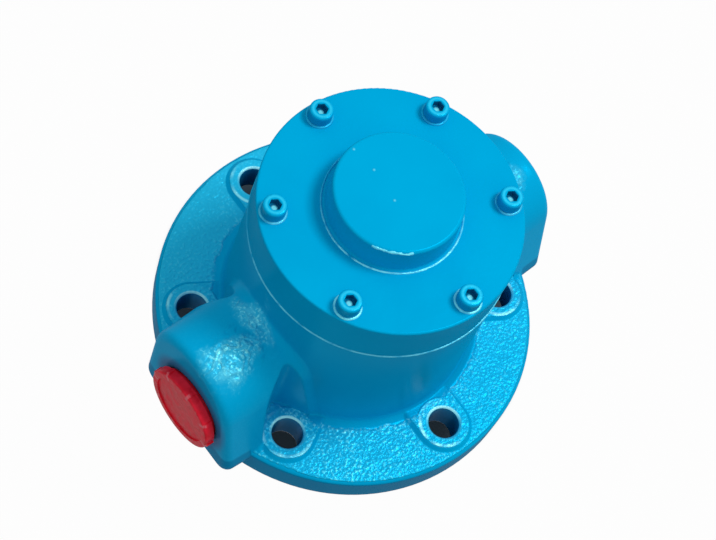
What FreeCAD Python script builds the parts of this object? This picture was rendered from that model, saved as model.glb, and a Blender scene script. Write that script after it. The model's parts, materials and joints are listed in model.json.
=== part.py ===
import FreeCAD, Part
import math
import os

# Flange-mounted internal gear pump. Millimetres, +Z along the shaft towards the cover.
# The origin is the centre of the mounting face. The open port faces +X, the plugged one -X.

# Mounting flange
flange_radius = 110.0
flange_thickness = 18.5
flange_edge_round = 3.0
flange_runout_height = 8.0
bolt_count = 6
bolt_circle_radius = 90.0
bolt_hole_radius = 8.75
bolt_hole_chamfer = 1.0
bolt_pad_foot_radius = 16.8
bolt_pad_top_radius = 14.8
bolt_pad_height = 2.5
bolt_pad_round = 0.8
bolt_relief_radius = 15.6
bolt_relief_corner = 4.0
bolt_relief_gap = 2.0
bolt_relief_draft = 3.0
first_bolt_angle = 30.0
spigot_radius = 65.0
spigot_height = 6.0
spigot_chamfer = 1.0

# Barrel
barrel_taper = 2.0
joint_height = 111.0
casting_fillet = 6.0

# Port bosses: a round crown on straight sides that lean out to a wider foot. The bores and
# feet lie a little to the -Y side of the shaft line, the same way on both bosses.
port_overhang = 7.5
port_axis_height = 37.0
port_shift = -4.5
port_bore_radius = 20.95
port_bore_depth = 28.0
passage_radius = 18.0
passage_overlap = 5.75
port_chamfer = 1.5
crown_radius = 33.0
crown_height = 49.0
foot_half_width = 38.0
foot_height = 6.0
foot_corner_radius = 8.0
boss_root = 30.0
boss_draft = 4.0
boss_edge_round = 5.0
pocket_half_width = 15.0
pocket_wall = 11.0
pocket_roof_gap = 13.0
pocket_overlap = 4.0

# Gear set
gear_module = 6.0
rotor_teeth = 15
idler_teeth = 10
pressure_angle = 30.0
addendum = 4.2
root_clearance = 0.8
backlash = 0.3
finger_margin = 0.4
rotor_disc_thickness = 13.0
flank_points = 5

# Clearances
chamber_clearance = 0.15
end_clearance = 0.2
crescent_clearance = 0.25
crescent_end_offset = 2.0
running_clearance = 0.05
loose_clearance = 0.3

# Shaft and its bores, from the drive end upwards
drive_end_length = 50.0
drive_end_radius = 12.0
drive_end_chamfer = 1.0
keyway_width = 8.0
keyway_depth = 4.0
keyway_length = 32.0
bearing_seat_length = 3.0
journal_radius = 14.0
hub_radius = 11.0
shaft_top_gap = 0.5
bush_gap = 2.0
bush_length = 18.0
bush_wall = 3.0
washer_radius = 24.0
washer_thickness = 2.2
washer_recess = 2.0

# Deep groove ball bearing
bearing_bore_radius = 12.5
bearing_outer_radius = 26.0
bearing_width = 15.0
bearing_base = 1.0
ball_radius = 3.97
ball_count = 9
ball_clearance = 0.02
race_depth = 1.62
cage_wall = 2.3
cage_width = 9.0
ball_pocket_clearance = 0.03

# Lip seal
seal_gap = 1.0
seal_radius = 21.0
seal_width = 7.0
seal_shell = 1.2
seal_web_gap = 3.0
lip_clearance = 0.02
lip_edge_width = 0.4
lip_edge_height = 2.0
lip_thickness = 0.9
lip_nose_height = 0.8
lip_nose_width = 1.0
lip_root_height = 0.8
lip_width = 2.6
lip_skin = 1.6
lip_skin_depth = 1.0
spring_radius = 0.9
spring_height = 2.2

# Retaining rings
bearing_ring_thickness = 2.0
bearing_ring_groove = 1.5
bearing_ring_width = 4.0
bearing_ring_play = 0.1
shaft_ring_thickness = 1.2
shaft_ring_groove = 0.8
shaft_ring_width = 3.0
ring_gap_angle = 40.0
hub_recess_radius = 16.5
hub_recess_depth = 4.0

# Rotor key
rotor_key_base = 0.5
rotor_key_width = 6.0
rotor_key_length = 8.0
rotor_key_in_shaft = 3.5
rotor_key_in_hub = 2.8

# Cover
gasket_thickness = 0.8
gasket_overhang = 0.2
gasket_bore_gap = 2.25
cover_overhang = 0.5
cover_top = 140.0
cover_edge_round = 1.2
boss_height = 18.0
boss_top_radius = 35.0
boss_foot_radius = 36.0
boss_top_round = 1.8
boss_foot_fillet = 1.8

# Idler pin
pin_radius = 10.0
pin_depth = 20.0
idler_bush_wall = 3.0
pin_chamfer = 0.8

# Cover screws and dowels
screw_inset = 13.25
screw_edge = 8.0
screw_radius = 4.0
screw_grip = 16.0
screw_hole_radius = 4.5
screw_head_radius = 6.5
screw_head_height = 8.0
screw_head_round = 1.2
socket_width = 6.0
socket_depth = 4.0
tapped_depth = 19.0
dowel_radius = 3.0
dowel_depth = 8.0
dowel_angles = (60.0, 240.0)

# Port plug
plug_head_radius = 24.2
plug_head_thickness = 5.5
plug_head_gap = 2.0
plug_shank_radius = 20.9
plug_shank_length = 16.5
plug_wall = 2.5
plug_edge_round = 1.0
plug_dish_radius = 19.8
plug_dish_depth = 0.8
grip_count = 8
first_grip_angle = 6.0
grip_width = 2.0
grip_height = 0.7

# Gear and chamber sizes that follow from those above
rotor_pitch_radius = gear_module * rotor_teeth / 2
idler_pitch_radius = gear_module * idler_teeth / 2
idler_offset = rotor_pitch_radius - idler_pitch_radius
rotor_tip_radius = rotor_pitch_radius - addendum
idler_tip_radius = idler_pitch_radius + addendum
idler_root_radius = rotor_tip_radius - idler_offset - root_clearance
idler_bush_radius = pin_radius + running_clearance + idler_bush_wall
rotor_radius = idler_offset + idler_tip_radius + finger_margin
chamber_radius = rotor_radius + chamber_clearance

# Sizes outside the chamber, each a wall or a gap from the last
screw_circle_radius = chamber_radius + screw_inset
gasket_bore_radius = chamber_radius + gasket_bore_gap
barrel_top_radius = screw_circle_radius + screw_edge
barrel_foot_radius = barrel_top_radius + barrel_taper
cover_radius = barrel_top_radius + cover_overhang
gasket_radius = barrel_top_radius + gasket_overhang
pocket_radius = barrel_top_radius - pocket_wall
passage_end = chamber_radius - passage_overlap
port_reach = flange_radius + port_overhang

# Bearing and bush
ball_circle_radius = (bearing_bore_radius + bearing_outer_radius) / 2
inner_land_radius = ball_circle_radius - ball_radius + race_depth
outer_land_radius = ball_circle_radius + ball_radius - race_depth
cage_inner_radius = ball_circle_radius - cage_wall / 2
cage_outer_radius = ball_circle_radius + cage_wall / 2
bush_radius = journal_radius + bush_wall

# Heights, from the mounting face up
bearing_top = bearing_base + bearing_width
seal_base = bearing_top + seal_gap
seal_top = seal_base + seal_width
bush_base = seal_top + bush_gap
bush_top = bush_base + bush_length
washer_base = bush_top
chamber_floor = washer_base + washer_recess
rotor_base = washer_base + washer_thickness + chamber_clearance
disc_top = rotor_base + rotor_disc_thickness
cover_base = joint_height + gasket_thickness
gear_top = cover_base - end_clearance
gear_base = disc_top + end_clearance
shaft_top = disc_top - shaft_top_gap

V = FreeCAD.Vector
up = V(0, 0, 1)


def cylinder(radius, low, high, x=0.0, y=0.0):
    return Part.makeCylinder(radius, high - low, V(x, y, low), up)


def tube(outer, inner, low, high, x=0.0, y=0.0):
    return cylinder(outer, low, high, x, y).cut(cylinder(inner, low - 1, high + 1, x, y))


def block(x0, x1, y0, y1, z0, z1):
    return Part.makeBox(x1 - x0, y1 - y0, z1 - z0, V(x0, y0, z0))


def turned(outline):
    points = [V(r, 0, z) for r, z in outline]
    face = Part.Face(Part.makePolygon(points + points[:1]))
    return face.revolve(V(0, 0, 0), up, 360)


def ring_of_balls(radius, circle, height, count):
    ball = Part.makeSphere(radius, V(circle, 0, height))
    return around(ball, count, 0.0)


def around(shape, count, first_angle):
    copies = []
    for i in range(count):
        copy = shape.copy()
        copy.rotate(V(0, 0, 0), up, first_angle + 360.0 * i / count)
        copies.append(copy)
    return copies


def polar(radius, degrees):
    angle = math.radians(degrees)
    return radius * math.cos(angle), radius * math.sin(angle)


def mid_point(edge):
    return edge.valueAt((edge.FirstParameter + edge.LastParameter) / 2)


def edges_where(shape, test):
    return [edge for edge in shape.Edges if test(mid_point(edge))]


def outer_tangent(first, second):
    x0, y0, r0 = first
    x1, y1, r1 = second
    angle = math.atan2(y1 - y0, x1 - x0) - math.acos((r0 - r1) / math.hypot(x1 - x0, y1 - y0))
    c, s = math.cos(angle), math.sin(angle)
    return (x0 + r0 * c, y0 + r0 * s), (x1 + r1 * c, y1 + r1 * s)


def belt(circles, place):
    """Closed outline pulled tight round the circles, which are listed anticlockwise."""
    count = len(circles)
    lines = [outer_tangent(circles[i], circles[(i + 1) % count]) for i in range(count)]
    edges = []
    for i in range(count):
        start, end = lines[i]
        leave = lines[(i + 1) % count][0]
        x, y, r = circles[(i + 1) % count]
        a0 = math.atan2(end[1] - y, end[0] - x)
        a1 = math.atan2(leave[1] - y, leave[0] - x)
        if a1 < a0:
            a1 += 2 * math.pi
        middle = (x + r * math.cos((a0 + a1) / 2), y + r * math.sin((a0 + a1) / 2))
        edges.append(Part.LineSegment(place(*start), place(*end)).toShape())
        edges.append(Part.Arc(place(*end), place(*middle), place(*leave)).toShape())
    return Part.Wire(edges)


def port_boss(side):
    corner = foot_half_width - foot_corner_radius

    def section(x, grow):
        circles = [
            (0, crown_height, crown_radius + grow),
            (port_shift - corner, foot_height + foot_corner_radius, foot_corner_radius + grow),
            (port_shift + corner, foot_height + foot_corner_radius, foot_corner_radius + grow),
        ]
        return belt(circles, lambda y, z: V(x, y, z))

    boss = Part.makeLoft([section(port_reach, 0), section(boss_root, boss_draft)], True, True)
    rim = edges_where(boss, lambda p: abs(p.x - port_reach) < 0.01)
    return on_side(boss.makeFillet(boss_edge_round, rim), side)


def on_side(shape, side):
    return shape if side > 0 else shape.mirror(V(0, 0, 0), V(1, 0, 0))


def barrel_radius_at(z):
    share = (z - foot_height) / (joint_height - foot_height)
    return barrel_foot_radius + (barrel_top_radius - barrel_foot_radius) * share


def blended_casting():
    """Barrel, bosses and an oversize plate, with one casting fillet in every inside corner."""
    oversize = port_reach + 20
    bosses = [port_boss(1), port_boss(-1)]
    plate = cylinder(oversize, foot_height, flange_thickness)
    barrel = Part.makeCone(barrel_foot_radius, barrel_top_radius, joint_height - foot_height,
                           V(0, 0, foot_height), up)
    body = plate.fuse([barrel] + bosses).removeSplitter()

    def inside_corner(edge):
        p = mid_point(edge)
        q = edge.valueAt(edge.FirstParameter * 0.9 + edge.LastParameter * 0.1)
        on_plate = abs(p.z - flange_thickness) < 0.001 and math.hypot(p.x, p.y) < oversize - 5
        on_barrel = all(abs(math.hypot(w.x, w.y) - barrel_radius_at(w.z)) < 0.01 for w in (p, q))
        return on_plate or (on_barrel and flange_thickness < p.z < joint_height - 1)

    body = body.makeFillet(casting_fillet, [edge for edge in body.Edges if inside_corner(edge)])
    return body.common(rim_envelope().fuse(bosses))


def rim_envelope():
    """Turned limit of the flange: rounded top edge, then a sloping end for the fillets."""
    top = flange_thickness
    flat = flange_radius - flange_edge_round
    shift = flange_edge_round * (1 - math.sqrt(0.5))
    ceiling = joint_height + 10
    slope_end = flat - flange_runout_height
    edges = [
        Part.LineSegment(V(0, 0, 0), V(flange_radius, 0, 0)),
        Part.LineSegment(V(flange_radius, 0, 0), V(flange_radius, 0, top - flange_edge_round)),
        Part.Arc(V(flange_radius, 0, top - flange_edge_round),
                 V(flange_radius - shift, 0, top - shift), V(flat, 0, top)),
        Part.LineSegment(V(flat, 0, top), V(slope_end, 0, top + flange_runout_height)),
        Part.LineSegment(V(slope_end, 0, top + flange_runout_height), V(slope_end, 0, ceiling)),
        Part.LineSegment(V(slope_end, 0, ceiling), V(0, 0, ceiling)),
        Part.LineSegment(V(0, 0, ceiling), V(0, 0, 0)),
    ]
    face = Part.Face(Part.Wire([edge.toShape() for edge in edges]))
    return face.revolve(V(0, 0, 0), up, 360)


def bolt_pads():
    """A raised pad round each flange hole, its sloping sides running in to the barrel."""
    crest = flange_thickness + bolt_pad_height
    inner = barrel_foot_radius - bolt_pad_top_radius / 2

    def section(z, radius):
        circles = [(bolt_circle_radius, 0, radius), (inner, 0, radius)]
        return belt(circles, lambda x, y: V(x, y, z))

    foot = section(flange_thickness, bolt_pad_foot_radius)
    pad = Part.makeLoft([foot, section(crest, bolt_pad_top_radius)], True, True)
    pad = pad.makeFillet(bolt_pad_round, edges_where(pad, lambda p: abs(p.z - crest) < 0.01))
    buried = Part.Face(foot).extrude(V(0, 0, -flange_thickness / 2))
    return around(pad.fuse(buried), bolt_count, first_bolt_angle)


def bolt_holes():
    crest = flange_thickness + bolt_pad_height
    hole = cylinder(bolt_hole_radius, -1, crest + 1, bolt_circle_radius)
    mouth = Part.makeCone(bolt_hole_radius, bolt_hole_radius + bolt_hole_chamfer + 1, bolt_hole_chamfer + 1,
                          V(bolt_circle_radius, 0, crest - bolt_hole_chamfer), up)
    return around(hole.fuse(mouth), bolt_count, first_bolt_angle)


def bolt_reliefs():
    """Room for each bolt's head and spanner, let down into the bosses and fillets."""
    inner = barrel_foot_radius + bolt_relief_gap + bolt_relief_corner

    def section(z, grow):
        side = bolt_relief_radius - bolt_relief_corner
        circles = [
            (bolt_circle_radius, 0, bolt_relief_radius + grow),
            (inner, side + grow, bolt_relief_corner),
            (inner, -side - grow, bolt_relief_corner),
        ]
        return belt(circles, lambda x, y: V(x, y, z))

    low = flange_thickness + bolt_pad_height
    room = Part.makeLoft([section(low, 0), section(joint_height, bolt_relief_draft)], True, True)
    return around(room, bolt_count, first_bolt_angle)


def port_passage(side):
    along = V(1, 0, 0)
    bore_end = port_reach - port_bore_depth

    def on_axis(x):
        return V(x, port_shift, port_axis_height)

    bore = Part.makeCylinder(port_bore_radius, port_bore_depth + 1, on_axis(bore_end), along)
    mouth = Part.makeCone(port_bore_radius, port_bore_radius + port_chamfer + 1, port_chamfer + 1,
                          on_axis(port_reach - port_chamfer), along)
    passage = Part.makeCylinder(passage_radius, bore_end + 1 - passage_end, on_axis(passage_end), along)
    roof = joint_height - pocket_roof_gap
    pocket = block(passage_end - pocket_overlap, pocket_radius, port_shift - pocket_half_width,
                   port_shift + pocket_half_width, port_axis_height, roof)
    pocket = pocket.common(cylinder(pocket_radius, port_axis_height - 1, roof + 1))
    return on_side(bore.fuse([mouth, passage, pocket]), side)


def shaft_bores():
    groove_low = bearing_base - bearing_ring_thickness - bearing_ring_play
    return [
        cylinder(bearing_outer_radius, -spigot_height - 1, bearing_top),
        cylinder(bearing_outer_radius + bearing_ring_groove, groove_low, bearing_base),
        cylinder(seal_radius, bearing_top - 1, seal_top),
        cylinder(bush_radius, seal_top - 1, chamber_floor),
        cylinder(washer_radius + loose_clearance, washer_base, chamber_floor + 1),
        cylinder(chamber_radius, chamber_floor, joint_height + 1),
    ]


def tapped_holes():
    hole = cylinder(screw_radius, joint_height - tapped_depth, joint_height + 1, screw_circle_radius)
    return around(hole, bolt_count, first_bolt_angle)


def dowel_holes(low, high):
    return [cylinder(dowel_radius, low, high, *polar(screw_circle_radius, a)) for a in dowel_angles]


def casing():
    body = blended_casting()
    base = cylinder(flange_radius, 0, foot_height + 1)
    spigot = cylinder(spigot_radius, -spigot_height, 1)
    spigot = spigot.makeChamfer(spigot_chamfer, edges_where(spigot, lambda p: p.z < -spigot_height + 0.01))
    body = body.fuse([base, spigot] + bolt_pads()).removeSplitter()
    body = body.cut(bolt_reliefs())
    cutters = bolt_holes() + shaft_bores() + tapped_holes()
    cutters += [port_passage(1), port_passage(-1)]
    cutters += dowel_holes(joint_height - dowel_depth, joint_height + 1)
    return body.cut(cutters)


def involute(angle):
    return math.tan(angle) - angle


def flank_angle(radius, pitch_radius, half_tooth):
    """Angle from a tooth's centre line to its flank at this radius."""
    alpha = math.radians(pressure_angle)
    base_radius = pitch_radius * math.cos(alpha)
    local = math.acos(min(1.0, base_radius / max(radius, base_radius)))
    return half_tooth / pitch_radius + involute(alpha) - involute(local)


def flank(pitch_radius, half_tooth, low, high, centre, sign):
    base_radius = pitch_radius * math.cos(math.radians(pressure_angle))
    start = max(low, base_radius)
    points = []
    for i in range(flank_points):
        radius = start + (high - start) * i / (flank_points - 1)
        angle = centre + sign * flank_angle(radius, pitch_radius, half_tooth)
        points.append(V(radius * math.cos(angle), radius * math.sin(angle), 0))
    curve = Part.BSplineCurve()
    curve.interpolate(points)
    return curve.toShape(), points[0], points[-1]


def on_circle(radius, angle):
    return V(radius * math.cos(angle), radius * math.sin(angle), 0)


def idler_outline():
    """Ten external teeth, the first pointing along +Y."""
    half_tooth = math.pi * gear_module / 4 - backlash / 4
    pitch = 2 * math.pi / idler_teeth
    edges = []
    for i in range(idler_teeth):
        centre = math.pi / 2 + i * pitch
        rise, rise_foot, rise_tip = flank(idler_pitch_radius, half_tooth, idler_root_radius,
                                          idler_tip_radius, centre, -1)
        fall, fall_foot, fall_tip = flank(idler_pitch_radius, half_tooth, idler_root_radius,
                                          idler_tip_radius, centre, 1)
        spread = flank_angle(idler_root_radius, idler_pitch_radius, half_tooth)
        root_in = on_circle(idler_root_radius, centre - spread)
        root_out = on_circle(idler_root_radius, centre + spread)
        next_root = on_circle(idler_root_radius, centre + pitch - spread)
        edges += [
            Part.LineSegment(root_in, rise_foot).toShape(),
            rise,
            Part.Arc(rise_tip, on_circle(idler_tip_radius, centre), fall_tip).toShape(),
            fall,
            Part.LineSegment(fall_foot, root_out).toShape(),
            Part.Arc(root_out, on_circle(idler_root_radius, centre + pitch / 2), next_root).toShape(),
        ]
    return Part.Wire(Part.__sortEdges__(edges))


def finger_outline():
    """One rotor finger, centred half a pitch before +Y: the metal between two tooth spaces."""
    half_space = math.pi * gear_module / 4 + backlash / 4
    pitch = 2 * math.pi / rotor_teeth
    centre = math.pi / 2 - pitch / 2
    near, near_tip, near_rim = flank(rotor_pitch_radius, half_space, rotor_tip_radius,
                                     rotor_radius, centre - pitch / 2, 1)
    far, far_tip, far_rim = flank(rotor_pitch_radius, half_space, rotor_tip_radius,
                                  rotor_radius, centre + pitch / 2, -1)
    edges = [
        near,
        Part.Arc(near_rim, on_circle(rotor_radius, centre), far_rim).toShape(),
        far,
        Part.Arc(far_tip, on_circle(rotor_tip_radius, centre), near_tip).toShape(),
    ]
    return Part.Wire(Part.__sortEdges__(edges))


def rotor():
    disc = cylinder(rotor_radius, rotor_base, disc_top)
    finger = Part.Face(finger_outline()).extrude(V(0, 0, gear_top - disc_top + 1))
    finger.translate(V(0, 0, disc_top - 1))
    body = disc.fuse(around(finger, rotor_teeth, 0.0)).removeSplitter()
    recess = cylinder(hub_recess_radius, disc_top - hub_recess_depth, disc_top + 1)
    bore = cylinder(hub_radius, rotor_base - 1, disc_top)
    return body.cut([recess, bore, rotor_key()])


def rotor_key():
    low = rotor_base + rotor_key_base
    return block(hub_radius - rotor_key_in_shaft, hub_radius + rotor_key_in_hub,
                 -rotor_key_width / 2, rotor_key_width / 2, low, low + rotor_key_length)


def idler_gear():
    gear = Part.Face(idler_outline()).extrude(V(0, 0, gear_top - gear_base))
    gear.translate(V(0, idler_offset, gear_base))
    return gear.cut(cylinder(idler_bush_radius, gear_base - 1, gear_top + 1, 0, idler_offset))


def idler_bush():
    return tube(idler_bush_radius, pin_radius + running_clearance, gear_base, gear_top, 0, idler_offset)


def idler_pin():
    pin = cylinder(pin_radius, gear_base, cover_base + pin_depth, 0, idler_offset)
    return pin.makeChamfer(pin_chamfer, edges_where(pin, lambda p: p.z < gear_base + 0.01))


def crescent():
    """Fills the gap between the two tip circles on the side away from the mesh."""
    outer = rotor_tip_radius - crescent_clearance
    inner = idler_tip_radius + crescent_clearance
    moon = cylinder(outer, gear_base, cover_base + 1)
    moon = moon.cut(cylinder(inner, gear_base - 1, cover_base + 2, 0, idler_offset))
    wide = rotor_radius + 5
    return moon.common(block(-wide, wide, -wide, crescent_end_offset, gear_base - 1, cover_base + 2))


def cover():
    plate = cylinder(cover_radius, cover_base, cover_top)
    crown = cover_top + boss_height
    boss = Part.makeCone(boss_foot_radius, boss_top_radius, boss_height, V(0, 0, cover_top), up)
    body = plate.fuse(boss).removeSplitter()
    foot = edges_where(body, lambda p: abs(p.z - cover_top) < 0.01 and math.hypot(p.x, p.y) < boss_foot_radius + 1)
    body = body.makeFillet(boss_foot_fillet, foot)
    body = body.makeFillet(boss_top_round, edges_where(body, lambda p: abs(p.z - crown) < 0.01))
    corner = edges_where(body, lambda p: abs(p.z - cover_top) < 0.01 and math.hypot(p.x, p.y) > cover_radius - 1)
    body = body.makeFillet(cover_edge_round, corner)
    body = body.fuse(crescent())
    hole = cylinder(screw_hole_radius, cover_base - 1, cover_top + 1, screw_circle_radius)
    cutters = around(hole, bolt_count, first_bolt_angle)
    cutters.append(cylinder(pin_radius, cover_base - 1, cover_base + pin_depth, 0, idler_offset))
    cutters += dowel_holes(cover_base - 1, cover_base + dowel_depth)
    return body.cut(cutters)


def cover_gasket():
    sheet = tube(gasket_radius, gasket_bore_radius, joint_height, cover_base)
    hole = cylinder(screw_hole_radius, joint_height - 1, cover_base + 1, screw_circle_radius)
    return sheet.cut(around(hole, bolt_count, first_bolt_angle) + dowel_holes(joint_height - 1, cover_base + 1))


def hexagon(width, low, high):
    radius = width / math.sqrt(3)
    points = [V(*polar(radius, 60.0 * i), low) for i in range(7)]
    return Part.Face(Part.makePolygon(points)).extrude(V(0, 0, high - low))


def cover_screws():
    crown = cover_top + screw_head_height
    head = cylinder(screw_head_radius, cover_top, crown)
    head = head.makeFillet(screw_head_round, edges_where(head, lambda p: p.z > crown - 0.01))
    shank = cylinder(screw_radius, joint_height - screw_grip, cover_top + 1)
    screw = head.fuse(shank).removeSplitter().cut(hexagon(socket_width, crown - socket_depth, crown + 1))
    screw.translate(V(screw_circle_radius, 0, 0))
    return Part.makeCompound(around(screw, bolt_count, first_bolt_angle))


def cover_dowels():
    return Part.makeCompound(dowel_holes(joint_height - dowel_depth, cover_base + dowel_depth))


def drive_shaft():
    outline = [
        (0, -drive_end_length),
        (drive_end_radius - drive_end_chamfer, -drive_end_length),
        (drive_end_radius, -drive_end_length + drive_end_chamfer),
        (drive_end_radius, -bearing_seat_length),
        (bearing_bore_radius, -bearing_seat_length),
        (bearing_bore_radius, bearing_top),
        (journal_radius, bearing_top),
        (journal_radius, rotor_base),
        (hub_radius, rotor_base),
        (hub_radius, shaft_top),
        (0, shaft_top),
    ]
    shaft = turned(outline)
    keyway = block(drive_end_radius - keyway_depth, drive_end_radius + 1, -keyway_width / 2, keyway_width / 2,
                   -drive_end_length - 1, -drive_end_length + keyway_length)
    grooves = [
        shaft_groove(bearing_bore_radius, bearing_base - shaft_ring_thickness),
        shaft_groove(hub_radius, disc_top - hub_recess_depth),
    ]
    return shaft.cut([keyway, rotor_key()] + grooves)


def shaft_groove(radius, low):
    return tube(radius + 1, radius - shaft_ring_groove, low, low + shaft_ring_thickness)


def open_ring(inner, outer, low, high, gap_side):
    ring = tube(outer, inner, low, high)
    half = math.radians(ring_gap_angle / 2)
    reach = outer + 5
    corners = [V(0, 0, low - 1), V(reach * math.cos(half), -reach * math.sin(half), low - 1),
               V(reach * math.cos(half), reach * math.sin(half), low - 1), V(0, 0, low - 1)]
    wedge = Part.Face(Part.makePolygon(corners)).extrude(V(0, 0, high - low + 2))
    wedge.rotate(V(0, 0, 0), up, gap_side)
    return ring.cut(wedge)


def shaft_circlip():
    inner = bearing_bore_radius - shaft_ring_groove
    return open_ring(inner, inner + shaft_ring_width, bearing_base - shaft_ring_thickness, bearing_base, 90)


def rotor_circlip():
    inner = hub_radius - shaft_ring_groove
    low = disc_top - hub_recess_depth
    return open_ring(inner, inner + shaft_ring_width, low, low + shaft_ring_thickness, 90)


def bearing_circlip():
    outer = bearing_outer_radius + bearing_ring_groove
    return open_ring(outer - bearing_ring_width, outer, bearing_base - bearing_ring_thickness, bearing_base, 90)


def raceway():
    middle = bearing_base + bearing_width / 2
    return Part.makeTorus(ball_circle_radius, ball_radius + ball_clearance, V(0, 0, middle), up)


def bearing_outer_ring():
    return tube(bearing_outer_radius, outer_land_radius, bearing_base, bearing_top).cut(raceway())


def bearing_inner_ring():
    return tube(inner_land_radius, bearing_bore_radius, bearing_base, bearing_top).cut(raceway())


def bearing_balls():
    middle = bearing_base + bearing_width / 2
    return Part.makeCompound(ring_of_balls(ball_radius, ball_circle_radius, middle, ball_count))


def bearing_cage():
    middle = bearing_base + bearing_width / 2
    ring = tube(cage_outer_radius, cage_inner_radius, middle - cage_width / 2, middle + cage_width / 2)
    pocket = Part.makeCylinder(ball_radius + ball_pocket_clearance, cage_outer_radius, V(0, 0, middle), V(1, 0, 0))
    return ring.cut(around(pocket, ball_count, 0.0))


def shaft_bush():
    return tube(bush_radius, journal_radius + running_clearance, bush_base, bush_top)


def thrust_washer():
    return tube(washer_radius, journal_radius + loose_clearance, washer_base, washer_base + washer_thickness)


def seal_case():
    inner = seal_radius - seal_shell
    web = journal_radius + seal_web_gap
    outline = [(seal_radius, seal_base), (seal_radius, seal_top), (web, seal_top), (web, seal_top - seal_shell),
               (inner, seal_top - seal_shell), (inner, seal_base)]
    return turned(outline)


def spring_seat():
    return journal_radius + lip_width, seal_base + spring_height


def seal_lip():
    """Rubber lip that hangs from the case's web and closes on the shaft."""
    touch = journal_radius + lip_clearance
    back = touch + lip_thickness
    edge = seal_base + lip_edge_height
    nose = seal_base + lip_nose_height
    under_web = seal_top - seal_shell
    web = journal_radius + seal_web_gap
    outline = [(touch, edge), (touch, edge + lip_edge_width), (back, under_web - lip_root_height),
               (back, seal_top), (web, seal_top), (web, under_web), (web + lip_skin, under_web),
               (web + lip_skin, under_web - lip_skin_depth), (touch + lip_width, under_web - lip_skin_depth),
               (touch + lip_width, nose), (touch + lip_nose_width, nose)]
    radius, height = spring_seat()
    return turned(outline).cut(Part.makeTorus(radius, spring_radius, V(0, 0, height), up))


def seal_spring():
    radius, height = spring_seat()
    return Part.makeTorus(radius, spring_radius, V(0, 0, height), up)


def port_plug():
    """Moulded thread protector, a little short of seated in the -X port."""
    outward = V(-1, 0, 0)
    face = port_reach + plug_head_gap

    def disc(radius, start, length):
        return Part.makeCylinder(radius, length, V(-start, port_shift, port_axis_height), outward)

    front = face + plug_head_thickness
    head = disc(plug_head_radius, face, plug_head_thickness)
    head = head.makeFillet(plug_edge_round, edges_where(head, lambda p: p.x < -front + 0.01))
    grip = Part.makeBox(plug_head_thickness - plug_edge_round, grip_width, grip_height + 1,
                        V(-face - plug_head_thickness + plug_edge_round, port_shift - grip_width / 2,
                          port_axis_height + plug_head_radius - 1))
    grips = []
    for i in range(grip_count):
        copy = grip.copy()
        copy.rotate(V(0, port_shift, port_axis_height), V(1, 0, 0), first_grip_angle + 360.0 * i / grip_count)
        grips.append(copy)
    shank = disc(plug_shank_radius, face - plug_shank_length, plug_shank_length + 1)
    body = head.fuse([shank] + grips).removeSplitter()
    hollow = disc(plug_shank_radius - plug_wall, face - plug_shank_length - 1, plug_shank_length + 1 + plug_wall)
    dish = disc(plug_dish_radius, front - plug_dish_depth, plug_dish_depth + 1)
    return body.cut([hollow, dish])


makers = [
    casing, cover, cover_gasket, cover_screws, cover_dowels, idler_pin, idler_gear, idler_bush,
    rotor, rotor_key, rotor_circlip, drive_shaft, shaft_bush, thrust_washer, seal_case, seal_lip,
    seal_spring, bearing_outer_ring, bearing_inner_ring, bearing_balls, bearing_cage,
    bearing_circlip, shaft_circlip, port_plug,
]

os.makedirs("parts", exist_ok=True)
for make in makers:
    shape = make()
    shape.exportStep("parts/" + make.__name__ + ".step")
    print(make.__name__, "solids", len(shape.Solids), "valid", shape.isValid(), "mm3", round(shape.Volume))
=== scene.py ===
import json
import math

import bpy
from mathutils import Matrix, Vector


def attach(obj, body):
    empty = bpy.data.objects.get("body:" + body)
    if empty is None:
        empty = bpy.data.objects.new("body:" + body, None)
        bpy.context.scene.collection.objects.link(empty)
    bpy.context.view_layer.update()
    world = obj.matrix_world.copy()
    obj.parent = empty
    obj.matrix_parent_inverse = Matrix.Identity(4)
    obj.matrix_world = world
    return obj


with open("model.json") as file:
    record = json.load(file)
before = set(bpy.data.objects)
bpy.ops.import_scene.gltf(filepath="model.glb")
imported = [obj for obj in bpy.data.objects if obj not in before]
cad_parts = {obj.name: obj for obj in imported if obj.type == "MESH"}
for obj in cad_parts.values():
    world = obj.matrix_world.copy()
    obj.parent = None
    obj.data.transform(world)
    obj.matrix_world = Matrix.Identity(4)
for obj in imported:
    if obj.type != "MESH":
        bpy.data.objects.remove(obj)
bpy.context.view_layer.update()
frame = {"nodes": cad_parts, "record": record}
bpy.ops.object.select_all(action="DESELECT")


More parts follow.
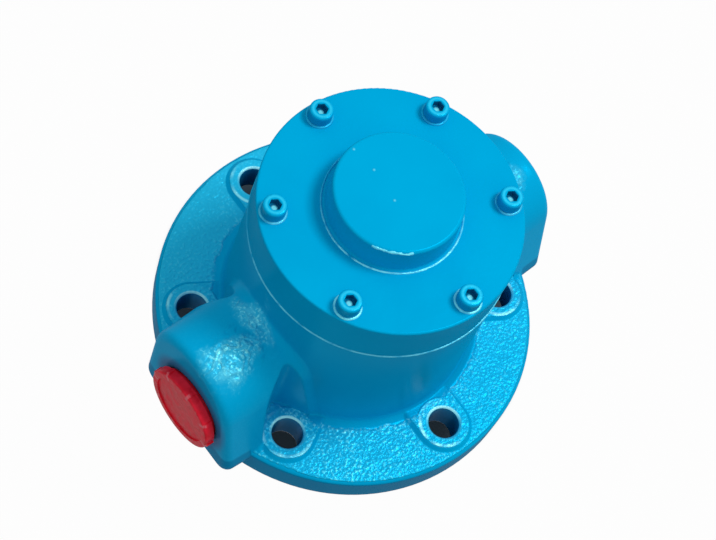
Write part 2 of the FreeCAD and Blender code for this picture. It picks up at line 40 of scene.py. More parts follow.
# A socket that can be used in sums, so that shader maths reads as maths
class Wire:
    def __init__(self, finish, socket):
        self.finish = finish
        self.socket = socket

    def maths(self, operation, *others, clamp=False):
        settings = {"operation": operation, "use_clamp": clamp}
        return self.finish.node("ShaderNodeMath", settings, dict(enumerate((self,) + others)))

    # Three numbers go with a vector, and a number or another value with a value
    def operate(self, operation, other):
        if isinstance(other, tuple):
            return self.finish.node("ShaderNodeVectorMath", {"operation": operation}, {0: self, 1: other})
        return self.maths(operation, other)

    def __add__(self, other):
        return self.operate("ADD", other)

    def __sub__(self, other):
        return self.operate("SUBTRACT", other)

    def __rsub__(self, other):
        return self.maths("MULTIPLY_ADD", -1.0, other)

    def __mul__(self, other):
        return self.operate("MULTIPLY", other)

    def __truediv__(self, other):
        return self.maths("DIVIDE", other)

    def __abs__(self):
        return self.maths("ABSOLUTE")

    __radd__ = __add__
    __rmul__ = __mul__

    def length(self):
        return self.finish.node("ShaderNodeVectorMath", {"operation": "LENGTH"}, {0: self}, "Value")

    def clamped(self):
        return self.maths("ADD", 0.0, clamp=True)

    # 0 below low, 1 above high, soft between
    def rise(self, low, high):
        steps = {"Value": self, "From Min": low, "From Max": high, "To Min": 0.0, "To Max": 1.0}
        return self.finish.node("ShaderNodeMapRange", {"interpolation_type": "SMOOTHSTEP"}, steps)

    def fall(self, low, high):
        return 1.0 - self.rise(low, high)

    # 1 between two soft borders
    def band(self, near, far):
        return self.rise(*near) * self.fall(*far)

    # 0 to 1 becomes least to most
    def span(self, least, most):
        return self * (most - least) + least


# One material: a Principled surface, and methods that add the nodes in front of it
class Finish:
    def __init__(self, name, **fixed):
        self.material = bpy.data.materials.new(name)
        self.material.use_nodes = True
        self.tree = self.material.node_tree
        self.tree.nodes.clear()
        self.surface = self.tree.nodes.new("ShaderNodeBsdfPrincipled")
        self.output = self.tree.nodes.new("ShaderNodeOutputMaterial")
        self.tree.links.new(self.surface.outputs[0], self.output.inputs["Surface"])
        for key, value in fixed.items():
            self.set(key.replace("_", " "), value)
        self.place = self.node("ShaderNodeTexCoord", {}, {}, "Object")

    # The same methods on a world's nodes
    @classmethod
    def forWorld(cls, world):
        sky = cls.__new__(cls)
        sky.tree = world.node_tree
        sky.tree.nodes.clear()
        return sky

    def node(self, kind, settings, sockets, out=0):
        added = self.tree.nodes.new(kind)
        for key, value in settings.items():
            setattr(added, key, value)
        for key, value in sockets.items():
            self.join(added.inputs[key], value)
        return Wire(self, added.outputs[out]) if added.outputs else None

    def join(self, socket, value):
        if isinstance(value, Wire):
            self.tree.links.new(value.socket, socket)
        elif socket.type == "RGBA":
            socket.default_value = (*value, 1.0)
        else:
            socket.default_value = value

    def set(self, name, value):
        self.join(self.surface.inputs[name], value)

    # Lays another shader over what is there by a factor
    def cover(self, factor, shader):
        below = self.output.inputs["Surface"].links[0].from_socket
        mixed = self.node("ShaderNodeMixShader", {}, {0: factor, 1: Wire(self, below), 2: shader})
        self.tree.links.new(mixed.socket, self.output.inputs["Surface"])

    def axes(self, vector=None):
        split = self.node("ShaderNodeSeparateXYZ", {}, {"Vector": vector or self.place})
        return [Wire(self, socket) for socket in split.socket.node.outputs]

    # Noise with its grain size in metres
    def noise(self, grain, detail=2.0, distortion=0.0):
        sockets = {"Vector": self.place, "Scale": 1.0 / grain, "Detail": detail, "Distortion": distortion}
        return self.node("ShaderNodeTexNoise", {}, sockets)

    def mix(self, factor, first, second):
        return self.node("ShaderNodeMix", {"data_type": "RGBA"}, {0: factor, 6: first, 7: second}, 2)

    # Bump on the surface's own normal, or on another normal
    def bump(self, height, depth, strength=1.0, normal=None):
        sockets = {"Height": height, "Distance": depth, "Strength": strength}
        if normal:
            sockets["Normal"] = normal
        return self.node("ShaderNodeBump", {}, sockets)

    # A normal that rounds sharp edges by a radius
    def rounded(self, radius):
        return self.node("ShaderNodeBevel", {"samples": 6}, {"Radius": radius})


# Camera at the photograph's viewing angle
cameraPlace = {"location": (-0.41784, -0.22768, 0.97161), "rotation_euler": (0.439814, -0.201686, -0.665108)}
cameraLens = {"lens": 93.098, "sensor_width": 36.0, "clip_start": 0.05}


def makeCamera():
    data = bpy.data.cameras.new("camera")
    camera = bpy.data.objects.new("camera", data)
    for key, value in cameraLens.items():
        setattr(data, key, value)
    for key, value in cameraPlace.items():
        setattr(camera, key, value)
    bpy.context.scene.collection.objects.link(camera)
    bpy.context.scene.camera = camera


# Floor, world and lamp. The camera sees floor and world as white, and they light the pump at a plain level.
studio = {
    "white": (1.0, 1.0, 1.0),
    "floorHeight": -0.0505,
    "floorSize": 8.0,
    "floorShade": (0.20, 0.20, 0.20),
    "floorRoughness": 0.9,
    "floorGlow": 0.98,
    "shadowShade": (0.022, 0.042, 0.060),
    "shadowCentre": (0.027, 0.0148, 0.0),
    "shadowBorder": (0.1055, 0.1195),
    "worldLevel": 0.58,
    "worldShade": (0.80, 0.92, 1.0),
}
keyLamp = {"place": (0.80, -0.36, 1.88), "target": (0.0, 0.0, 0.07), "size": 0.55, "power": 21.0}


# 1 for the rays that should meet the white background itself
def whiteRays(finish):
    kinds = ("Is Camera Ray", "Is Glossy Ray", "Is Transmission Ray")
    rays = [finish.node("ShaderNodeLightPath", {}, {}, kind) for kind in kinds]
    return (rays[0] + rays[1] + rays[2]).clamped()


# White paper with a painted shadow, a soft dark patch, under the pump. It is clear from below.
def makeFloor():
    bpy.ops.mesh.primitive_plane_add(size=studio["floorSize"], location=(0, 0, studio["floorHeight"]))
    floor = bpy.context.object
    floor.name = "floor"
    finish = Finish("floorPaper", Roughness=studio["floorRoughness"])
    reach = ((finish.place - studio["shadowCentre"]) * (1.0, 1.0, 0.0)).length()
    under = reach.fall(*studio["shadowBorder"])
    finish.set("Base Color", finish.mix(under, studio["floorShade"], studio["shadowShade"]))
    glow = finish.node("ShaderNodeEmission", {}, {"Color": studio["white"]})
    finish.cover(whiteRays(finish) * studio["floorGlow"] * (1.0 - under), glow)
    fromBelow = finish.node("ShaderNodeNewGeometry", {}, {}, "Backfacing")
    finish.cover(fromBelow, finish.node("ShaderNodeBsdfTransparent", {}, {}))
    floor.data.materials.append(finish.material)


def makeWorld():
    world = bpy.data.worlds.new("world")
    bpy.context.scene.world = world
    world.use_nodes = True
    sky = Finish.forWorld(world)
    sockets = {"Color": studio["worldShade"], "Strength": studio["worldLevel"]}
    ambient = sky.node("ShaderNodeBackground", {}, sockets)
    white = sky.node("ShaderNodeBackground", {}, {"Color": studio["white"], "Strength": 1.0})
    both = sky.node("ShaderNodeMixShader", {}, {0: whiteRays(sky), 1: ambient, 2: white})
    sky.node("ShaderNodeOutputWorld", {}, {"Surface": both})


def makeLamp():
    data = bpy.data.lights.new("keyLamp", "AREA")
    data.size = keyLamp["size"]
    data.energy = keyLamp["power"]
    lamp = bpy.data.objects.new("keyLamp", data)
    lamp.location = keyLamp["place"]
    beam = Vector(keyLamp["target"]) - Vector(keyLamp["place"])
    lamp.rotation_euler = beam.to_track_quat("-Z", "Y").to_euler()
    bpy.context.scene.collection.objects.link(lamp)


bpy.context.scene.view_settings.view_transform = "Standard"
makeCamera()
makeFloor()
makeWorld()
makeLamp()
print("camera, floor and light are set")


# Blue enamel: its colours, from painted shade in hollows and beside the plug to painted highlights
enamel = {
    "beside": (0.08, 0.09, 0.24),
    "paintedShade": (0.0, 0.11, 0.26),
    "dark": (0.0, 0.375, 0.665),
    "shade": (0.0, 0.405, 0.70),
    "light": (0.05, 0.74, 0.98),
    "shine": (0.22, 0.88, 1.0),
    "spark": (0.46, 0.95, 1.0),
    "driftGrain": 0.045,
    "driftBorder": (0.25, 0.75),
    "roughness": 0.26,
    "castFlake": 0.12,
    "smoothFlake": 0.05,
}

# Heights of the cover and its boss, the axis of both ports, and how bolts and screws stand round the shaft
coverTop = 0.140
bossTop = 0.158
portAxis = (0.0, -0.0045, 0.037)
ringOfSix = {"count": 6, "firstAngle": 30.0}

# Directions in the flange's plane, as the photograph shows the pump
ways = {
    "back": (0.49, 0.77),
    "right": (0.77, -0.60),
    "holeBack": (0.54, 0.84),
    "holeLeft": (-0.95, -0.31),
}


# Gloss enamel whose colour drifts a little, without its bump
def startEnamel(name, flake):
    finish = Finish(name, Roughness=enamel["roughness"], Specular_IOR_Level=0.0, Metallic=flake)
    drift = finish.noise(enamel["driftGrain"]).rise(*enamel["driftBorder"])
    return finish, finish.mix(drift, enamel["dark"], enamel["shade"])


# How far a place lies along a direction in the flange's plane
def toward(x, y, way):
    return x * way[0] + y * way[1]


# Place and distance from the axis of the nearest bolt or screw
def fromNearest(finish, circle):
    x, y, z = finish.axes()
    first = math.radians(ringOfSix["firstAngle"])
    step = math.tau / ringOfSix["count"]
    angle = ((y.maths("ARCTAN2", x) - first) / step).maths("ROUND") * step + first
    along = x - angle.maths("COSINE") * circle
    beside = y - angle.maths("SINE") * circle
    return along, beside, (along * along + beside * beside).maths("SQRT")


# Turned iron or steel: fine rings about the shaft, and a stain that darkens it in places
turned = {
    "iron": (0.46, 0.46, 0.47),
    "ringScale": 260.0,
    "ringWobble": 0.6,
    "stainGrain": 0.018,
    "stainBorder": (0.3, 0.75),
    "stainShade": 0.8,
}


def machined(finish, shade):
    sockets = {"Vector": finish.place, "Scale": turned["ringScale"], "Distortion": turned["ringWobble"]}
    settings = {"wave_type": "RINGS", "rings_direction": "Z"}
    rings = finish.node("ShaderNodeTexWave", settings, sockets, 1)
    stain = finish.noise(turned["stainGrain"], detail=4.0).rise(*turned["stainBorder"])
    return rings, finish.mix(stain, [level * turned["stainShade"] for level in shade], shade)


# Where the casting's look changes, in metres. A pair is a soft border.
castPlaces = {
    "mountingFace": (0.0, 0.0003),  # up the shaft's axis
    "flangeTop": (0.0205, 0.0235),
    "chamber": (0.0701, 0.0703),  # out from the shaft's axis
    "barrelFoot": (0.0765, 0.0785),
    "footEdgeHighlight": ((0.0770, 0.0785), (0.0785, 0.0815)),
    "outsideBarrel": (0.0775, 0.0795),
    "flangeRim": (0.1090, 0.1098),
    "crowns": (0.074, 0.078),  # along the ports' axis
    "boreStart": (0.0885, 0.0890),
    "plugFace": (-0.1168, -0.1158),
    "passage": (0.0180, 0.0182),  # out from the ports' axis
    "portBore": (0.0210, 0.0212),
    "plugShade": (0.0255, 0.0325),
}
# The same, out from a bolt hole's axis, across the raised pad round it
boltPads = {
    "circle": 0.090,
    "wall": (0.00885, 0.00905),
    "lip": (0.00965, 0.01065),
    "edge": ((0.0124, 0.0138), (0.0142, 0.0150)),
    "rough": (0.0148, 0.0158),
    "slope": ((0.0142, 0.0150), (0.0164, 0.0172)),
}
# Borders between a face's tilts, from 0 for an upright face to 1 for a level one
tilts = {
    "level": (0.86, 0.95),
    "levelFray": 0.15,
    "lip": (0.1, 0.4),
    "foot": (0.12, 0.5),
    "rim": (0.2, 0.5),
}
# Painted light is stronger to the front and left of the pump, and on one side of each hole
paintedLightSides = {
    "front": (-0.085, 0.02),
    "left": (0.0, 0.09),
    "least": 0.25,
    "holeBack": (-0.2, 0.8),
    "holeLeft": (-0.6, 0.7),
    "lipLeast": 0.2,
}
# Patches that fray the borders, and the orange peel of thick paint on a sand casting
castSkin = {
    "patchGrain": 0.010,
    "fray": 0.006,
    "edgePatches": (0.35, 0.6),
    "peelGrain": 0.0017,
    "peelTwist": 0.3,
    "peelShare": 0.55,
    "swellGrain": 0.0055,
    "crests": (0.44, 0.72),
    "crowdGrain": 0.014,
    "crowdBorder": (0.25, 0.65),
    "crowdLeast": 0.4,
    "edgeRadius": 0.002,
    "depth": 0.0008,
}
# Rough patches on the crowns of the ports, and the ridges in them
crownMarks = {
    # Centre, stretch of the distance from it, radius, strength
    "patches": [
        ((-0.1040, -0.0080, 0.081), (1.1, 1.0, 0.6), 0.0150, 1.0),
        ((-0.0900, -0.0060, 0.083), (1.0, 1.3, 0.6), 0.0110, 0.6),
        ((-0.0780, 0.0050, 0.083), (2.0, 0.8, 0.4), 0.0140, 0.7),
        ((0.0950, -0.0060, 0.081), (1.0, 1.1, 0.6), 0.0130, 0.8),
    ],
    "start": 0.35,  # a patch's border, as shares of its radius
    "end": 1.1,
    "fray": 0.016,
    "ridgeGrain": 0.011,
    "ridgeTwist": 1.2,
    "ridgeSharpness": 9.0,
}
# How much of each look a place gets
shares = {
    "bossRough": 0.08,
    "markRough": 0.9,
    "leastRough": 0.02,
    "crestLight": 0.6,
    "evenLight": 0.36,
    "frontLoss": 0.2,
    "leftLight": 0.5,
    "slopeDark": 0.35,
    "footDeep": (0.45, 0.08),
    "glint": (0.4, 0.9),
    "flangeGlint": 0.3,
    "edgeShine": 0.95,
    "footEdgeShine": 0.8,
    "markCrests": 0.45,
    "markRidges": 0.3,
    "markShine": 0.12,
    "edgeSpark": 0.5,
    "spark": 0.8,
    "rimDeep": 0.5,
    "holeDeep": 0.95,
    "holeFade": 14.0,
    "plugShadeAndReflection": 0.6,
    "ironRoughness": 0.16,
    "ridgeRelief": 0.7,
    "turningRelief": 0.02,
}


# The peel's height, and the crests of its grains, which crowd in places and carry painted highlights
def castPeel(finish):
    fine = finish.noise(castSkin["peelGrain"], detail=1.0, distortion=castSkin["peelTwist"])
    swell = finish.noise(castSkin["swellGrain"], detail=1.0)
    crowd = finish.noise(castSkin["crowdGrain"]).rise(*castSkin["crowdBorder"])
    height = fine * castSkin["peelShare"] + swell * (1.0 - castSkin["peelShare"])
    return height, fine.rise(*castSkin["crests"]) * crowd.span(castSkin["crowdLeast"], 1.0)


# A ridge runs where its noise is near the middle of its range
def crownRoughness(finish, patches):
    mark = 0.0
    for centre, stretch, radius, strength in crownMarks["patches"]:
        away = ((finish.place - centre) * stretch).length() + patches * crownMarks["fray"]
        mark = away.fall(radius * crownMarks["start"], radius * crownMarks["end"]) * strength + mark
    mark = mark.clamped()
    waves = finish.noise(crownMarks["ridgeGrain"], detail=0.0, distortion=crownMarks["ridgeTwist"])
    ridges = (1.0 - abs(waves - 0.5) * crownMarks["ridgeSharpness"]).clamped()
    return mark, ridges * mark


# Bare iron on the mounting face, in the chamber, the ports' bores and the passages
def bareIron(x, z, across, fromPort):
    onBore = fromPort.fall(*castPlaces["portBore"]) * abs(x).rise(*castPlaces["boreStart"])
    inChamber = across.fall(*castPlaces["chamber"])
    inPassage = fromPort.fall(*castPlaces["passage"])
    return (z.fall(*castPlaces["mountingFace"]) + inChamber + onBore + inPassage).clamped()


def makeCastEnamel():
    finish, shade = startEnamel("castEnamel", enamel["castFlake"])
    x, y, z = finish.axes()
    facing = finish.axes(finish.node("ShaderNodeTexCoord", {}, {}, "Normal"))[2]  # 1 where a face looks up
    across = (finish.place * (1.0, 1.0, 0.0)).length()
    fromPort = ((finish.place - portAxis) * (0.0, 1.0, 1.0)).length()
    patches = finish.noise(castSkin["patchGrain"]) - 0.5
    frayed = across + patches * castSkin["fray"]

    # Regions
    onFlange = z.fall(*castPlaces["flangeTop"])
    onBoss = abs(x).rise(*castPlaces["crowns"]) * (1.0 - onFlange)
    mark, ridges = crownRoughness(finish, patches)
    # Painted shade in the barrel's foot
    foot = across.fall(*castPlaces["barrelFoot"]) * onFlange * facing.rise(*tilts["foot"])
    # A painted highlight line just past the barrel's foot
    footEdgeLight = frayed.band(*castPlaces["footEdgeHighlight"]) * onFlange
    # Painted shade and painted red reflection beside the plug
    nearPlug = x.fall(*castPlaces["plugFace"]) * fromPort.fall(*castPlaces["plugShade"])
    # Painted shade on the flange's rim side
    rim = across.rise(*castPlaces["flangeRim"]) * onFlange * facing.fall(*tilts["rim"])
    # Painted light, stronger to the front and left of the pump
    front = toward(x, y, ways["back"]).fall(*paintedLightSides["front"])
    left = toward(x, y, ways["right"]).fall(*paintedLightSides["left"])
    paintedLightShare = (front * left.span(paintedLightSides["least"], 1.0)).span(paintedLightSides["least"], 1.0)

    # Bolt holes and their pads
    along, beside, hole = fromNearest(finish, boltPads["circle"])
    holeBack = (toward(along, beside, ways["holeBack"]) / hole).rise(*paintedLightSides["holeBack"])
    holeLeft = (toward(along, beside, ways["holeLeft"]) / hole).rise(*paintedLightSides["holeLeft"])
    wall = hole.fall(*boltPads["wall"])
    slope = hole.band(*boltPads["slope"])
    # Painted highlights on the lip of each hole and along the pad's edge, stronger on one side
    lip = hole.fall(*boltPads["lip"]) * facing.rise(*tilts["lip"])
    lip = lip * holeBack.span(paintedLightSides["lipLeast"], 1.0)
    edge = hole.band(*boltPads["edge"]) * holeLeft * (patches + 0.5).rise(*castSkin["edgePatches"])
    outside = (frayed.rise(*castPlaces["outsideBarrel"]) + hole.fall(*boltPads["rough"])).clamped()

    # Orange peel, which lies on the flange and on the marks
    peel, crests = castPeel(finish)
    level = (facing + patches * tilts["levelFray"]).rise(*tilts["level"])
    rough = onFlange * level * outside + onBoss * shares["bossRough"] + mark * shares["markRough"]
    rough = (rough + shares["leastRough"]).clamped()

    # Colour, from the widest layer to the smallest
    # Painted light on the rough paint, from its crests and an even lift
    light = crests * shares["crestLight"] * paintedLightShare + shares["evenLight"] - front * shares["frontLoss"]
    light = light * rough * left.span(shares["leftLight"], 1.0)
    paint = finish.mix(light.clamped(), shade, enamel["light"])
    # Painted shade on the slopes of the pads
    paint = finish.mix(slope * onFlange * outside * shares["slopeDark"], paint, enamel["dark"])
    # Painted shade in the barrel's foot, less on the left
    paint = finish.mix(foot * (1.0 - outside) * left.span(*shares["footDeep"]), paint, enamel["paintedShade"])
    # Painted highlights on the hole lips, the pad edges and the line past the barrel's foot
    onPads = lip + edge * outside * shares["edgeShine"] + footEdgeLight * crests * paintedLightShare * shares["footEdgeShine"]
    # Painted highlights on the crowns' rough marks
    onMark = mark * (crests * shares["markCrests"] + ridges * shares["markRidges"] + shares["markShine"])
    # Painted glints on the crests of the peel
    glint = crests.rise(*shares["glint"]) * rough * (onFlange * shares["flangeGlint"] + mark) * paintedLightShare
    bright = onPads * onFlange + onMark + glint
    paint = finish.mix((bright * (1.0 - wall)).clamped(), paint, enamel["shine"])
    # The brightest painted highlights, on the far side of the hole lips and on the pad edges
    spark = (lip * holeBack + edge * outside * shares["edgeSpark"]) * onFlange * (1.0 - wall)
    paint = finish.mix((spark * shares["spark"]).clamped(), paint, enamel["spark"])
    # Painted shade down the bolt holes, darker with depth, and on the flange's rim side
    inHole = wall * onFlange * (shares["holeDeep"] - z * shares["holeFade"])
    paint = finish.mix((rim * shares["rimDeep"] + inHole).clamped(), paint, enamel["paintedShade"])
    # Painted shade and painted red reflection beside the plug
    paint = finish.mix(nearPlug * shares["plugShadeAndReflection"], paint, enamel["beside"])

    bare = bareIron(x, z, across, fromPort)
    turning, iron = machined(finish, turned["iron"])
    finish.set("Base Color", finish.mix(bare, paint, iron))
    finish.set("Metallic", (bare + enamel["castFlake"]).clamped())
    finish.set("Roughness", bare * shares["ironRoughness"] + enamel["roughness"])
    relief = (peel * rough + ridges * shares["ridgeRelief"]) * (1.0 - bare)
    relief = relief + turning * bare * shares["turningRelief"]
    rounded = finish.rounded(castSkin["edgeRadius"])
    finish.set("Normal", finish.bump(relief, castSkin["depth"], normal=rounded))
    return finish.material


# The enamel on the cover, which is smoother, with paint nibs on top of the boss that carry a painted
# highlight
smoothSkin = {
    "swellGrain": 0.007,
    "swell": 0.35,
    "peelGrain": 0.0011,
    "peel": 0.035,
    "depth": 0.0006,
    "strength": 0.6,
}
nibs = {
    "places": [(-0.0055, 0.0320, bossTop), (-0.0039, 0.0170, bossTop), (-0.0057, -0.0025, bossTop)],
    "border": (0.0003, 0.0010),
    "shine": 0.45,
}


def makeSmoothEnamel():
    finish, shade = startEnamel("smoothEnamel", enamel["smoothFlake"])
    swell = finish.noise(smoothSkin["swellGrain"]) * smoothSkin["swell"]
    wave = swell + finish.noise(smoothSkin["peelGrain"], detail=1.0) * smoothSkin["peel"]
    nearest, *others = [(finish.place - place).length() for place in nibs["places"]]
    for other in others:
        nearest = nearest.maths("MINIMUM", other)
    nib = nearest.fall(*nibs["border"])
    finish.set("Base Color", finish.mix(nib * nibs["shine"], shade, enamel["shine"]))
    finish.set("Normal", finish.bump(wave + nib, smoothSkin["depth"], smoothSkin["strength"]))
    return finish.material


# The same enamel on the cover's screws
screwPlaces = {
    "circle": 0.063,
    "socketHighlight": (0.0010, 0.0020),  # out from a screw's axis
    "socket": (0.0034, 0.0036),
    "ring": ((0.0036, 0.0046), (0.0046, 0.0060)),
    "rim": (0.0046, 0.0060),
    "socketFloor": (0.1446, 0.1450),  # up its head
    "side": (0.1450, 0.1472),
    "top": (0.1468, 0.1476),
}
screwSkin = {
    "ringLight": 0.5,
    "socketDeep": 0.8,
    "sideDeep": 0.25,
    "edgeRadius": 0.0010,
    "peelGrain": 0.0030,
    "depth": 0.0004,
    "strength": 0.6,
}


# A painted highlight on a ring round the top of the head and on the socket's floor, and painted shade down
# in the socket and on the head's side
def makeScrewEnamel():
    finish, shade = startEnamel("screwEnamel", enamel["castFlake"])
    z = finish.axes()[2]
    out = fromNearest(finish, screwPlaces["circle"])[2]
    onTop = z.rise(*screwPlaces["top"])
    ring = out.band(*screwPlaces["ring"]) * onTop
    socket = out.fall(*screwPlaces["socket"]) * (1.0 - onTop)
    socketHighlight = out.fall(*screwPlaces["socketHighlight"]) * z.fall(*screwPlaces["socketFloor"])
    side = z.fall(*screwPlaces["side"]) * out.rise(*screwPlaces["rim"])
    paintedShade = (socket * screwSkin["socketDeep"] + side * screwSkin["sideDeep"]).clamped()
    paint = finish.mix(ring * screwSkin["ringLight"], shade, enamel["light"])
    paint = finish.mix(paintedShade, paint, enamel["paintedShade"])
    finish.set("Base Color", finish.mix(socketHighlight, paint, enamel["shine"]))
    peel = finish.noise(screwSkin["peelGrain"])
    rounded = finish.rounded(screwSkin["edgeRadius"])
    finish.set("Normal", finish.bump(peel, screwSkin["depth"], screwSkin["strength"], rounded))
    return finish.material


# Paint that has gathered in seams and round feet, with a painted highlight on it that shows as a light line
# towards the front
beadSkin = {
    "roughness": 0.2,
    "front": (-0.03, 0.01),
    "least": 0.1,
    "grain": 0.006,
    "gaps": (0.2, 0.6),
    "seamTop": (0.113, 0.115),
    "seamLoss": 0.35,
    "peelGrain": 0.0015,
    "depth": 0.0002,
    "strength": 0.5,
}


def makeBeadEnamel():
    finish = Finish("beadEnamel", Roughness=beadSkin["roughness"], Specular_IOR_Level=0.0,
                    Metallic=enamel["castFlake"])
    x, y, z = finish.axes()
    # Painted highlight along the bead, strongest to the front, with gaps
    front = toward(x, y, ways["back"]).fall(*beadSkin["front"]).span(beadSkin["least"], 1.0)
    paintedLightShare = finish.noise(beadSkin["grain"], detail=3.0).rise(*beadSkin["gaps"]) * front
    atSeam = z.fall(*beadSkin["seamTop"])
    shine = paintedLightShare * (1.0 - atSeam * beadSkin["seamLoss"])
    finish.set("Base Color", finish.mix(shine, enamel["shade"], enamel["shine"]))
    peel = finish.noise(beadSkin["peelGrain"])
    finish.set("Normal", finish.bump(peel, beadSkin["depth"], beadSkin["strength"]))
    return finish.material


# Metals and rubber: shade, metallic, roughness
plain = {
    "steel": ((0.50, 0.51, 0.52), 1.0, 0.28),
    "gear_steel": ((0.42, 0.42, 0.43), 1.0, 0.32),
    "gear_iron": ((0.26, 0.26, 0.27), 1.0, 0.42),
    "bearing_steel": ((0.62, 0.62, 0.63), 1.0, 0.12),
    "spring_steel": ((0.06, 0.06, 0.065), 0.9, 0.35),
    "bronze": ((0.55, 0.36, 0.15), 1.0, 0.28),
    "seal_rubber": ((0.02, 0.02, 0.02), 0.0, 0.55),
}
plainSkin = {"smearGrain": 0.004, "smear": 0.12, "scratchGrain": 0.0008, "depth": 0.00002, "strength": 0.6}


def makePlain(name, shade, metallic, roughness):
    finish = Finish(name, Metallic=metallic)
    rings, metal = machined(finish, shade)
    smears = finish.noise(plainSkin["smearGrain"], detail=3.0)
    scratches = finish.noise(plainSkin["scratchGrain"])
    finish.set("Base Color", metal)
    finish.set("Roughness", smears * plainSkin["smear"] + roughness)
    finish.set("Normal", finish.bump(rings + scratches, plainSkin["depth"], plainSkin["strength"]))
    return finish.material


# Moulded plastic with a painted highlight on each grip of the rim, rubbed lighter in random patches.
# Its shades are bright, because it faces away from the lamp.
redPlug = {
    "dark": (0.80, 0.012, 0.028),
    "shade": (1.0, 0.024, 0.050),
    "wearAndHighlight": (1.0, 0.24, 0.27),
    "specular": 0.03,
    "roughness": (0.25, 0.40),
    "grips": 8,
    "firstGrip": 6.0,
    "gripSide": (0.0006, 0.0012),
    "gripRim": (0.0200, 0.0204),
    "gripEnd": (-0.1240, -0.1225),
    "gripHighlight": 0.6,
    "mottleGrain": 0.006,
    "mottleTwist": 0.6,
    "mottleBorder": (0.3, 0.7),
    "mottleRelief": 0.4,
    "rubGrain": 0.005,
    "rubBorder": (0.64, 0.78),
    "rubWear": 0.3,
    "peelGrain": 0.002,
    "peelRelief": 0.15,
    "depth": 0.0004,
    "strength": 0.5,
}


def makeRed():
    finish = Finish("redPlastic", Specular_IOR_Level=redPlug["specular"])
    middle = finish.place - portAxis
    x, y, z = finish.axes(middle)
    step = math.tau / redPlug["grips"]
    turn = (z.maths("ARCTAN2", y) - math.radians(redPlug["firstGrip"])) / step
    out = (middle * (0.0, 1.0, 1.0)).length()
    beside = abs((turn - turn.maths("ROUND")) * step * out)
    # A painted highlight on each grip of the rim
    grip = beside.fall(*redPlug["gripSide"]) * out.rise(*redPlug["gripRim"]) * x.fall(*redPlug["gripEnd"])
    mottle = finish.noise(redPlug["mottleGrain"], detail=3.0, distortion=redPlug["mottleTwist"])
    mottle = mottle.rise(*redPlug["mottleBorder"])
    rub = finish.noise(redPlug["rubGrain"], detail=3.0).rise(*redPlug["rubBorder"])
    wearAndHighlightShare = (grip * redPlug["gripHighlight"] + rub * redPlug["rubWear"]).clamped()
    plastic = finish.mix(mottle, redPlug["dark"], redPlug["shade"])
    finish.set("Base Color", finish.mix(wearAndHighlightShare, plastic, redPlug["wearAndHighlight"]))
    finish.set("Roughness", mottle.span(*redPlug["roughness"]))
    relief = mottle * redPlug["mottleRelief"] + finish.noise(redPlug["peelGrain"]) * redPlug["peelRelief"]
    finish.set("Normal", finish.bump(relief, redPlug["depth"], redPlug["strength"]))
    return finish.material


# Each node gets the finish of its slot. The gasket's edge is painted over, as the photograph shows.
made = {slot: makePlain(slot, *values) for slot, values in plain.items()}
made["blue_enamel"] = makeSmoothEnamel()
made["gasket_sheet"] = made["blue_enamel"]
made["red_plastic"] = makeRed()
slots = {row["node"]: row["material_slot"] for row in frame["record"]["subparts"]}
for name, node in frame["nodes"].items():
    node.data.materials.clear()
    node.data.materials.append(made[slots[name]])
castEnamel = makeCastEnamel()
frame["nodes"]["casing"].data.materials[0] = castEnamel
frame["nodes"]["cover_screws"].data.materials[0] = makeScrewEnamel()
beadEnamel = makeBeadEnamel()
print("finishes on", len(frame["nodes"]), "nodes")


# A new piece: its place goes into its mesh, and it rides on a body
def keepPiece(name, body, finish):
    piece = bpy.context.object
    bpy.ops.object.transform_apply(location=True, rotation=True, scale=True)
    piece.name = name
    piece.data.name = name
    piece.data.materials.clear()
    piece.data.materials.append(finish)
    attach(piece, body)
    return piece


# Copies with their own mesh, evenly round the shaft
def copyAround(piece, count):
    for step in range(1, count):
        copy = piece.copy()
        copy.data = piece.data.copy()
        copy.data.transform(Matrix.Rotation(step * math.tau / count, 4, "Z"))
        copy.name = "%s_%d" % (piece.name, step + 1)
        bpy.context.scene.collection.objects.link(copy)
        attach(copy, "housing")


# Raised casting marks on the crowns of the ports
crownSkin = {
    "marks": {
        "crown_mark_1": {"middle": (-0.0945, -0.0050), "size": (0.036, 0.036)},
        "crown_mark_2": {"middle": (0.0950, -0.0060), "size": (0.030, 0.032)},
    },
    "start": 0.10,
    "cuts": 110,
    "grain": 0.0034,
    "grainDepth": 1,
    "rise": 0.0046,
    "level": 0.42,
    "sink": 0.00015,
    "thickness": 0.0012,
    "margin": 0.75,
}


# How much a place on a mark is roughened: not at all at its edge, and fully inside its margin
def crownWeight(place, middle, size):
    away = math.hypot(*((place[axis] - middle[axis]) * 2 / size[axis] for axis in (0, 1)))
    return min(1.0, max(0.0, (1.0 - away) / crownSkin["margin"]))


# A modifier with its settings, applied at once
def applyModifier(piece, kind, **settings):
    modifier = piece.modifiers.new(kind.lower(), kind)
    for key, value in settings.items():
        setattr(modifier, key, value)
    bpy.ops.object.modifier_apply(modifier=modifier.name)


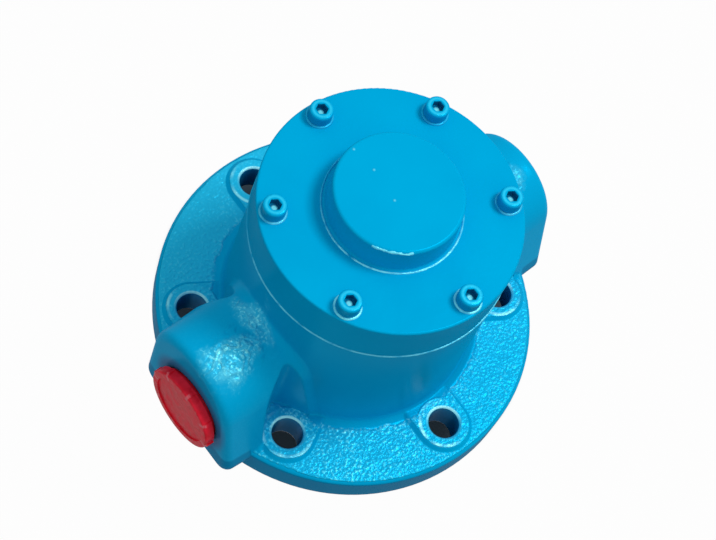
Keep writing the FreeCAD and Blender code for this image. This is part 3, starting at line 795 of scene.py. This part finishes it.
# A grid that is laid on the casing from above, roughened in its middle and closed below
def makeCrownSkin(name, middle, size):
    bpy.ops.object.select_all(action="DESELECT")
    cuts = crownSkin["cuts"]
    bpy.ops.mesh.primitive_grid_add(x_subdivisions=cuts, y_subdivisions=cuts, size=1.0,
                                    location=(*middle, crownSkin["start"]))
    piece = bpy.context.object
    piece.scale = (*size, 1.0)
    bpy.ops.object.transform_apply(location=True, rotation=True, scale=True)
    inner = piece.vertex_groups.new(name="inner")
    for vertex in piece.data.vertices:
        inner.add([vertex.index], crownWeight(vertex.co, middle, size), "REPLACE")
    applyModifier(piece, "SHRINKWRAP", wrap_method="PROJECT", use_project_z=True,
                  use_negative_direction=True, use_positive_direction=False,
                  target=frame["nodes"]["casing"], offset=-crownSkin["sink"])
    grain = bpy.data.textures.new(name, "CLOUDS")
    grain.noise_scale = crownSkin["grain"]
    grain.noise_depth = crownSkin["grainDepth"]
    applyModifier(piece, "DISPLACE", texture=grain, texture_coords="LOCAL", vertex_group="inner",
                  strength=crownSkin["rise"], mid_level=crownSkin["level"])
    applyModifier(piece, "SOLIDIFY", thickness=crownSkin["thickness"], offset=-1.0)
    bpy.ops.object.shade_smooth()
    keepPiece(name, "housing", castEnamel)


# A ring of thick paint with an uneven surface, left in edit mode
def layRing(place, radius, thickness, segments, ripple, seed, softening):
    bpy.ops.object.select_all(action="DESELECT")
    bpy.ops.mesh.primitive_torus_add(major_radius=radius, minor_radius=thickness, major_segments=segments[0],
                                     minor_segments=segments[1], location=place)
    bpy.ops.object.mode_set(mode="EDIT")
    bpy.ops.mesh.select_all(action="SELECT")
    bpy.ops.transform.vertex_random(offset=ripple, seed=seed)
    bpy.ops.mesh.vertices_smooth(factor=0.5, repeat=softening)
    bpy.ops.mesh.select_all(action="SELECT")


# Back to object mode, and kept as paint on the housing
def keepPaint(name):
    bpy.ops.object.mode_set(mode="OBJECT")
    bpy.ops.object.shade_smooth()
    return keepPiece(name, "housing", beadEnamel)


# Paint along the gasket and at the foot of the cover's boss
beads = {
    "seam_bead": {"height": 0.1110, "radius": 0.0714, "thickness": 0.0007},
    "boss_bead": {"height": coverTop, "radius": 0.0378, "thickness": 0.0006},
}
beadRing = {"segments": (360, 10), "ripple": 0.0003, "seed": 4, "softening": 2}


def makeBead(name, height, radius, thickness):
    layRing((0, 0, height), radius, thickness, **beadRing)
    keepPaint(name)


# A run of thick paint along the rounded edge of the boss's top: an arc cut from a ring
bossRun = {
    "height": 0.1567,
    "middle": -135.0,
    "spread": 18.0,
    "ring": {
        "radius": 0.03445,
        "thickness": 0.0009,
        "segments": (360, 10),
        "ripple": 0.0012,
        "seed": 9,
        "softening": 2,
    },
}


def makeBossRun():
    layRing((0, 0, bossRun["height"]), **bossRun["ring"])
    for side in (-1, 1):
        end = math.radians(bossRun["middle"] + side * (bossRun["spread"] + 90))
        outwards = (math.cos(end), math.sin(end), 0)
        bpy.ops.mesh.select_all(action="SELECT")
        bpy.ops.mesh.bisect(plane_co=(0, 0, 0), plane_no=outwards, use_fill=True, clear_outer=True)
    keepPaint("boss_run")


# Paint fillet at the foot of each screw head: the upper half of a ring on the cover
screwRing = {
    "radius": 0.0068,
    "thickness": 0.0009,
    "segments": (64, 16),
    "ripple": 0.0002,
    "seed": 7,
    "softening": 3,
}


def makeScrewPaint():
    angle = math.radians(ringOfSix["firstAngle"])
    place = Vector((math.cos(angle), math.sin(angle), 0)) * screwPlaces["circle"]
    place.z = coverTop
    layRing(place, **screwRing)
    bpy.ops.mesh.bisect(plane_co=place, plane_no=(0, 0, 1), use_fill=True, clear_inner=True)
    copyAround(keepPaint("screw_paint"), ringOfSix["count"])


# Thread inside the open port: a three-cornered ridge wound along the bore
portThread = {
    "start": 0.0922,
    "turns": 10,
    "steps": 72,
    "pitch": 0.002309,
    "rootRadius": 0.02105,
    "crestRadius": 0.01965,
    "halfWidth": 0.0010,
}


# The triangle in a circle of radius 1 is 1.5 high and as wide as twice the cosine of 30 degrees
def makePortThread():
    bpy.ops.object.select_all(action="DESELECT")
    depth = portThread["rootRadius"] - portThread["crestRadius"]
    bpy.ops.mesh.primitive_circle_add(vertices=3, radius=1.0, location=(portThread["start"], *portAxis[1:]))
    piece = bpy.context.object
    profile = Matrix.Diagonal((portThread["halfWidth"] / math.cos(math.pi / 6), -depth / 1.5, 1.0, 1.0))
    piece.data.transform(Matrix.Translation((0, portThread["rootRadius"] - depth / 3, 0)) @ profile)
    applyModifier(piece, "SCREW", axis="X", screw_offset=portThread["pitch"], iterations=portThread["turns"],
                  steps=portThread["steps"], render_steps=portThread["steps"])
    bpy.ops.object.mode_set(mode="EDIT")
    bpy.ops.mesh.select_all(action="SELECT")
    bpy.ops.mesh.fill_holes(sides=3)
    bpy.ops.mesh.select_all(action="SELECT")
    bpy.ops.mesh.normals_make_consistent(inside=False)
    bpy.ops.object.mode_set(mode="OBJECT")
    keepPiece("port_thread", "housing", made["steel"])


for markName, mark in crownSkin["marks"].items():
    makeCrownSkin(markName, **mark)
print("casting marks are made")
makeBossRun()
for beadName, bead in beads.items():
    makeBead(beadName, **bead)
makeScrewPaint()
print("paint runs and beads are made")
makePortThread()
print("port thread is made")
